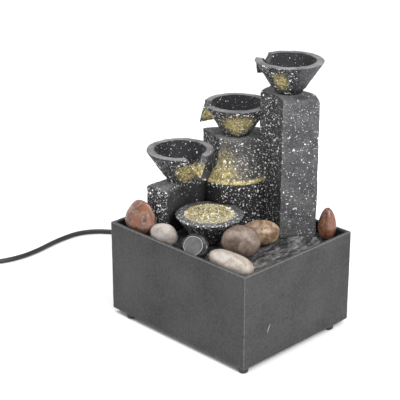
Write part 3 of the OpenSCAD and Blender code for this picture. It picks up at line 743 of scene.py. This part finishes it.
def tower():
    """Pillar, tiers and column as one casting, spattered from the front and gilded at the cascade, with
    painted light on right-facing faces, a painted highlight along the low tier's edge and a painted shadow
    beside the catch bowl.
    """
    mesh = recast("tower_casting", ["pillar", "mid_tier", "low_tier", "cascade_column"], 0.0013, 7)
    co, n = points_of(mesh), normals_of(mesh)
    lumps = 0.0006 * cloud(co, 0.016, 4, 3) + 0.00022 * cloud(co, 0.0035, 2, 4)
    co = co + n * (lumps - 0.0002)[:, None]
    put_points(mesh, co)
    at = co[:, :2]
    from_ring = np.hypot(*(at - RING).T)
    front = facing(n, TO_CAMERA)
    up = n[:, 2]
    height = co[:, 2]
    c, s = math.cos(TOWER_TURN), math.sin(TOWER_TURN)
    end_face = ramp(facing(n, (s, -c)), 0.75, 0.95) * ramp(facing(at - RING, TO_RIGHT), 0.038, 0.043)
    wall = ramp(-from_ring, -0.0450, -0.0425)
    top = ramp(up, 0.6, 0.9)
    speck = 0.35 + 0.70 * ramp(front, -0.2, 0.5)
    speck = speck * (1 - 0.32 * end_face) * (1 - 0.20 * top)
    left_end = ramp(-facing(at, TO_RIGHT), 0.040, 0.050) * ramp(-height, -LOW_Z - 0.004, -LOW_Z)
    # Painted shadow: below the low tier, near the catch bowl's left side, the cast is darkened and has
    # fewer specks, as shade in the gap.
    from_catch = np.hypot(*(at - flat(middle("catch_bowl"))).T)
    catch_bowl_shadow = ramp(-from_catch, -0.0410, -0.0395) * ramp(-facing(at, TO_RIGHT), 0.010, 0.020)
    catch_bowl_shadow = catch_bowl_shadow * ramp(-height, -LOW_Z + 0.004, -LOW_Z + 0.006)
    speck = speck * (1 - 0.75 * catch_bowl_shadow) + 0.10 * left_end * (1 - catch_bowl_shadow)
    pale = 0.16 + 0.30 * end_face + 0.45 * top + 0.12 * wall * ramp(height, 0.12, 0.20)
    # Painted light: faces turned to the right get extra pale grey, as where the light falls on them.
    pale = pale + 0.30 * ramp(facing(n, TO_RIGHT), 0.55, 0.9) * (1 - end_face)
    from_column = at - COLUMN
    round_column = ramp(-np.hypot(*from_column.T), -0.0385, -0.0370)
    round_column = round_column * ramp(-from_ring, -0.0425, -0.0415)
    swing = np.degrees(np.arctan2(facing(from_column, TO_RIGHT), facing(from_column, TO_CAMERA)))
    rise = (height - LOW_Z) / (MID_Z - LOW_Z)
    lit = ramp(rise, -0.035, 0.0) * (0.84 - 0.62 * ramp(rise, 0.10, 0.95))
    lit = lit * (1 - 0.80 * ramp(swing, -45, 35))
    # Painted highlight: a band of extra gold along the low tier's edge, where light catches the ledge.
    ledge_highlight = ramp(rise, -0.03, 0.0) * ramp(-rise, -0.10, -0.03) * (1 - 0.7 * ramp(swing, 30, 75))
    gold = round_column * np.maximum(lit, 0.8 * ledge_highlight)
    speck = speck - 0.10 * round_column
    pale = pale + 0.22 * round_column * ramp(rise, 0.05, 0.3)
    # dark: the column darker below the low tier's edge, and a painted shadow in the gap beside the catch
    # bowl.
    dark = 0.55 * ramp(-height, -LOW_Z - 0.001, -LOW_Z + 0.002) * round_column + 0.5 * catch_bowl_shadow
    put_attribute(mesh, "speck", speck)
    put_attribute(mesh, "gold", gold)
    put_attribute(mesh, "pale", pale)
    put_attribute(mesh, "dark", dark)
    return new_object("tower_casting", mesh, CAST, "tower", "speckled_cast",
                      "pillar", "mid_tier", "low_tier", "cascade_column")


def bowl(node, axis, base, height, rim_inner, floor, patches, right_plain=0.0, inside_gold=0.0,
         rim_pale=0.85):
    """A cast bowl: pale rim, dark inside, painted shade at its foot, spatter and patches of gold.
    A patch is (swing from the camera, half width in degrees, low, high, strength)."""
    mesh = recast(node + "_cast", [node], 0.0008, 3)
    co, n = points_of(mesh), normals_of(mesh)
    seed = 5 + axis[0] * 300
    lumps = 0.00035 * cloud(co, 0.010, 3, seed) + 0.00014 * cloud(co, 0.0028, 2, seed + 1)
    co = co + n * (lumps - 0.00012)[:, None]
    put_points(mesh, co)
    off = co[:, :2] - axis
    radius = np.hypot(*off.T)
    z = co[:, 2] - base
    out = (n[:, :2] * off).sum(1) / np.maximum(radius, 1e-6)
    inside = ramp(-out, -0.15, 0.25) * ramp(-radius, -rim_inner - 0.0012, -rim_inner + 0.0004)
    inside = np.maximum(inside, ramp(-radius, -0.009, -0.008) * ramp(z, floor - 0.002, floor))
    inside = inside * ramp(z, floor - 0.003, floor - 0.001)
    rim = ramp(n[:, 2], 0.55, 0.85) * ramp(z, height - 0.0028, height - 0.0014) * (1 - inside)
    swing = np.degrees(np.arctan2(facing(off, TO_RIGHT), facing(off, TO_CAMERA)))
    right = ramp(swing, 2, 22) * (1 - ramp(swing, 130, 160))
    plain = right_plain * right * (1 - inside)
    speck = (1 - 0.9 * rim * rim_pale) * (1 - 0.75 * plain)
    speck = speck * (1 - 0.60 * inside)
    speck = speck * (1 - 0.6 * ramp(-facing(off, TO_CAMERA), 0.0, 0.02) * (1 - inside))
    pale = 0.20 + rim_pale * rim + 0.16 * plain - 0.2 * inside
    pale = pale + 0.25 * ramp(n[:, 2], 0.2, 0.6) * (1 - inside)
    gold = np.zeros(len(co))
    for centre, half, low, high, strength in patches:
        mid_z, half_z = (low + high) / 2, (high - low) / 2
        spread = np.hypot((swing - centre) / half, (z - mid_z) / half_z)
        gold = np.maximum(gold, strength * (1 - ramp(spread, 0.10, 1.25)))
    gold = gold * (1 - inside) * (1 - rim)
    gold = np.maximum(gold, inside_gold * inside)
    speck = speck + 1.2 * inside_gold * inside
    # Painted shade: the lowest few millimetres, where the bowl sits on its tier, are darkened.
    dark = np.maximum(inside * (0.9 - 0.9 * inside_gold), 0.7 * (1 - ramp(z, 0.002, 0.005)))
    put_attribute(mesh, "speck", speck)
    put_attribute(mesh, "gold", gold)
    put_attribute(mesh, "pale", pale)
    put_attribute(mesh, "dark", dark)
    return new_object(node + "_cast", mesh, CAST, "tower", "gilded_cast", node)


def bowls():
    top = flat(middle("riser_tube"))
    catch = flat(middle("catch_bowl"))
    height, catch_height = 0.031, 0.0285
    rim, deep, shallow = 0.0250, 0.009, 0.0225
    bowl("top_bowl", top, PILLAR_Z, height, rim, deep, [(-24, 26, 0.002, 0.027, 0.80)], right_plain=1.0)
    bowl("middle_bowl", MIDDLE_BOWL, MID_Z, height, rim, deep,
         [(0, 48, 0.000, 0.028, 1.05), (-72, 18, 0.010, 0.034, 1.0)])
    bowl("lower_bowl", LOWER_BOWL, LOW_Z, height, rim, deep, [(24, 42, -0.002, 0.027, 1.15)])
    bowl("catch_bowl", catch, DECK_Z, catch_height, rim - 0.001, shallow, [], inside_gold=0.9,
         rim_pale=0.05)


def rock_deck():
    mesh = recast("rock_deck_slab", ["rock_deck"], 0.0014, 3)
    co, n = points_of(mesh), normals_of(mesh)
    upper = ramp(n[:, 2], 0.2, 0.7) * ramp(co[:, 2], DECK_Z - 0.003, DECK_Z - 0.001)
    relief = 0.0016 * cloud(co, 0.013, 4, 9) + 0.0007 * cloud(co, 0.004, 3, 10)
    put_points(mesh, co + n * (upper * (relief - 0.0004))[:, None])
    put_attribute(mesh, "speck", 0.25 + 0.9 * ramp(co[:, 2], DECK_Z + 0.0015, DECK_Z + 0.003))
    return new_object("rock_deck_slab", mesh, ROCK, "tower", "dark_rock", "rock_deck")


# ---------------------------------------------------------------- river stones
def river_stone(name, half, turn, tip, power, lump, cuts, material, seed, taper=0.0, bend=0.0, face=None):
    """half: half sizes in mm, the same as the part's. cuts: worn flats on a unit stone, as
    (direction, distance, share of the bulge kept). face: one cut flat, as (direction, distance)."""
    worn_edge, cut_edge = 22, 40
    made = bmesh.new()
    bmesh.ops.create_icosphere(made, subdivisions=6, radius=1.0)
    mesh = bpy.data.meshes.new(name)
    made.to_mesh(mesh)
    made.free()
    p = points_of(mesh)
    if power != 1:
        p = np.sign(p) * np.abs(p) ** power
        p = p / np.abs(p).max(0)
    p = p * (1 + lump * cloud(p, 1.1, 2, seed) + 0.012 * cloud(p, 0.28, 2, seed + 1))[:, None]
    flatness = np.zeros(len(p))
    for direction, distance, keep in cuts:
        d = np.array(direction, float)
        d = d / np.linalg.norm(d)
        over = p @ d - distance
        soft = np.logaddexp(0, over * worn_edge) / worn_edge
        p = p - np.outer(soft * (1 - keep), d)
    if face is not None:
        d = np.array(face[0], float)
        d = d / np.linalg.norm(d)
        over = p @ d - face[1]
        p = p - np.outer(np.logaddexp(0, over * cut_edge) / cut_edge, d)
        flatness = ramp(over, 0.0, 0.30)
    p[:, :2] = p[:, :2] * (1 - taper * p[:, 2:3])
    p[:, 2] = p[:, 2] + bend * (p[:, 0] ** 2 - 0.3)
    p = (p - (p.max(0) + p.min(0)) / 2)
    p = p / (p.max(0) - p.min(0)) * 2 * np.array(half) * MM
    spin = Matrix.Rotation(math.radians(turn), 3, "Z") @ Matrix.Rotation(math.radians(tip), 3, "X")
    node = "pebble_" + name
    p = p @ np.array(spin).T + np.array(middle(node))
    p[:, 2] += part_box(node)[0].z - p[:, 2].min()
    put_points(mesh, p)
    put_attribute(mesh, "face", flatness)
    mesh.shade_smooth()
    return new_object(name + "_stone", mesh, material, node, name + "_stone", node)


def stones():
    rust = stone_finish("rust_stone", (0.038, 0.013, 0.008), (0.27, 0.150, 0.112),
                        blotch=(0.19, 0.055, 0.014), blotch_at=0.46, vein=(0.40, 0.29, 0.24),
                        grain=0.0075, gloss=0.34)
    sand = stone_finish("sand_stone", (0.21, 0.175, 0.15), (0.38, 0.355, 0.335),
                        blotch=(0.30, 0.17, 0.10), blotch_at=0.60, vein=(0.15, 0.125, 0.115),
                        grain=0.0065, gloss=0.42)
    white = stone_finish("white_stone", (0.25, 0.20, 0.16), (0.44, 0.41, 0.375),
                         blotch=(0.31, 0.17, 0.08), blotch_at=0.56, vein=(0.28, 0.20, 0.14),
                         grain=0.0080, gloss=0.40, stretch=(1, 2.2, 1.6))
    taupe = stone_finish("taupe_stone", (0.075, 0.048, 0.033), (0.23, 0.175, 0.142),
                         blotch=(0.060, 0.036, 0.025), blotch_at=0.56, grain=0.0050, gloss=0.50, pits=0.14)
    tan = stone_finish("tan_stone", (0.120, 0.064, 0.030), (0.36, 0.265, 0.175),
                       blotch=(0.085, 0.034, 0.012), blotch_at=0.52, grain=0.0048, gloss=0.44, pits=0.16)
    wine = stone_finish("wine_stone", (0.045, 0.017, 0.011), (0.22, 0.095, 0.055),
                        blotch=(0.42, 0.21, 0.11), blotch_at=0.58, vein=(0.025, 0.010, 0.008),
                        grain=0.0060, gloss=0.26, stretch=(2.2, 2.2, 0.7))
    river_stone("rust", (17.5, 8.3, 18.3), turn=12, tip=0, power=0.92, lump=0.05,
                cuts=[((-0.8, -0.5, 0.75), 0.80, 0.15), ((0.9, -0.6, 0.5), 0.78, 0.2),
                      ((0.1, -1, 0.1), 0.86, 0.2)],
                material=rust, seed=11, taper=0.12)
    river_stone("sand", (14.5, 8.2, 10.8), turn=12, tip=0, power=0.90, lump=0.05,
                cuts=[((0.2, -0.4, 1), 0.84, 0.3)], material=sand, seed=12, taper=0.05)
    river_stone("black", (16.5, 5, 13.2), turn=0, tip=-32, power=0.95, lump=0.03,
                cuts=[], material=cut_stone(), seed=13, face=((0.05, -1, 0.05), 0.70))
    river_stone("white", (26, 9.6, 9.6), turn=0, tip=0, power=0.86, lump=0.035,
                cuts=[((0.05, -0.7, 0.7), 0.86, 0.3), ((0, 0.3, 1), 0.88, 0.4)],
                material=white, seed=14, bend=-0.05)
    river_stone("taupe", (18.5, 13.5, 15.5), turn=45, tip=0, power=0.95, lump=0.05,
                cuts=[((-0.4, -0.2, 1), 0.90, 0.4)], material=taupe, seed=15, taper=0.04)
    river_stone("tan", (19, 10.3, 12.3), turn=45, tip=0, power=0.93, lump=0.05,
                cuts=[((0.3, -0.5, 0.8), 0.86, 0.3)], material=tan, seed=16, taper=0.02)
    river_stone("wine", (9, 9, 16.2), turn=45, tip=0, power=1.0, lump=0.03,
                cuts=[((0.6, -0.6, 0.2), 0.90, 0.4)], material=wine, seed=17, taper=0.26)


# ---------------------------------------------------------------- CAD nodes that keep their shape
KEPT = {
    "basin_feet": RUBBER, "deck_posts": PUMP_BLACK, "riser_tube": TUBE, "water_outlet": PUMP_BLACK,
    "pump_housing": PUMP_BLACK, "pump_back_cap": LID_GREY, "pump_stator": WINDING, "chamber_lid": LID_GREY,
    "filter_sponge": FOAM, "intake_cover": PUMP_BLACK, "flow_dial": LID_GREY, "rotor_magnet": FERRITE,
    "impeller": IVORY, "rotor_shaft": CERAMIC, "shaft_bushes": RUBBER, "suction_cups": RUBBER,
    "outlet_nozzle": PUMP_BLACK,
}


def dress_kept_nodes():
    for node, material in KEPT.items():
        kept = NODES[node]
        kept.data.materials.clear()
        kept.data.materials.append(material)
    for node in ("pump_housing", "pump_back_cap", "chamber_lid", "intake_cover"):
        soften = NODES[node].modifiers.new("soften", "BEVEL")
        soften.width = 0.0005
        soften.segments = 2
        soften.limit_method = "ANGLE"
        soften.angle_limit = math.radians(50)


# ---------------------------------------------------------------- stage and light
def stage():
    made = bmesh.new()
    bmesh.ops.create_grid(made, x_segments=1, y_segments=1, size=4.0)
    mesh = bpy.data.meshes.new("floor")
    made.to_mesh(mesh)
    made.free()
    floor = bpy.data.objects.new("floor", mesh)
    bpy.context.scene.collection.objects.link(floor)
    floor.location.z = -0.0002
    t = Tree("pale_floor")
    tone = t.mix(t.noise(0.4, 2, 0.5), (0.90, 0.90, 0.90), (0.93, 0.93, 0.93))
    mesh.materials.append(t.finish(tone, 0.9))


def area_light(name, at, look_at, size, power):
    data = bpy.data.lights.new(name, "AREA")
    data.shape = "RECTANGLE"
    data.size, data.size_y = size
    data.energy = power
    lamp = bpy.data.objects.new(name, data)
    bpy.context.scene.collection.objects.link(lamp)
    lamp.location = at
    lamp.rotation_mode = "QUATERNION"
    lamp.rotation_quaternion = (Vector(look_at) - Vector(at)).to_track_quat("-Z", "Y")


def light():
    world = bpy.data.worlds.new("studio")
    world.use_nodes = True
    back = world.node_tree.nodes["Background"]
    back.inputs["Color"].default_value = (1, 1, 1, 1)
    back.inputs["Strength"].default_value = 0.85
    bpy.context.scene.world = world
    area_light("key", (1.3, -0.2, 1.2), (0, 0, 0.12), (1.0, 1.0), 26)
    area_light("top", (-0.3, -0.5, 1.7), (0, 0, 0.1), (1.2, 1.2), 16)
    bpy.context.scene.view_settings.view_transform = "Standard"


basin()
tower()
bowls()
rock_deck()
stones()
dress_kept_nodes()
stage()
light()
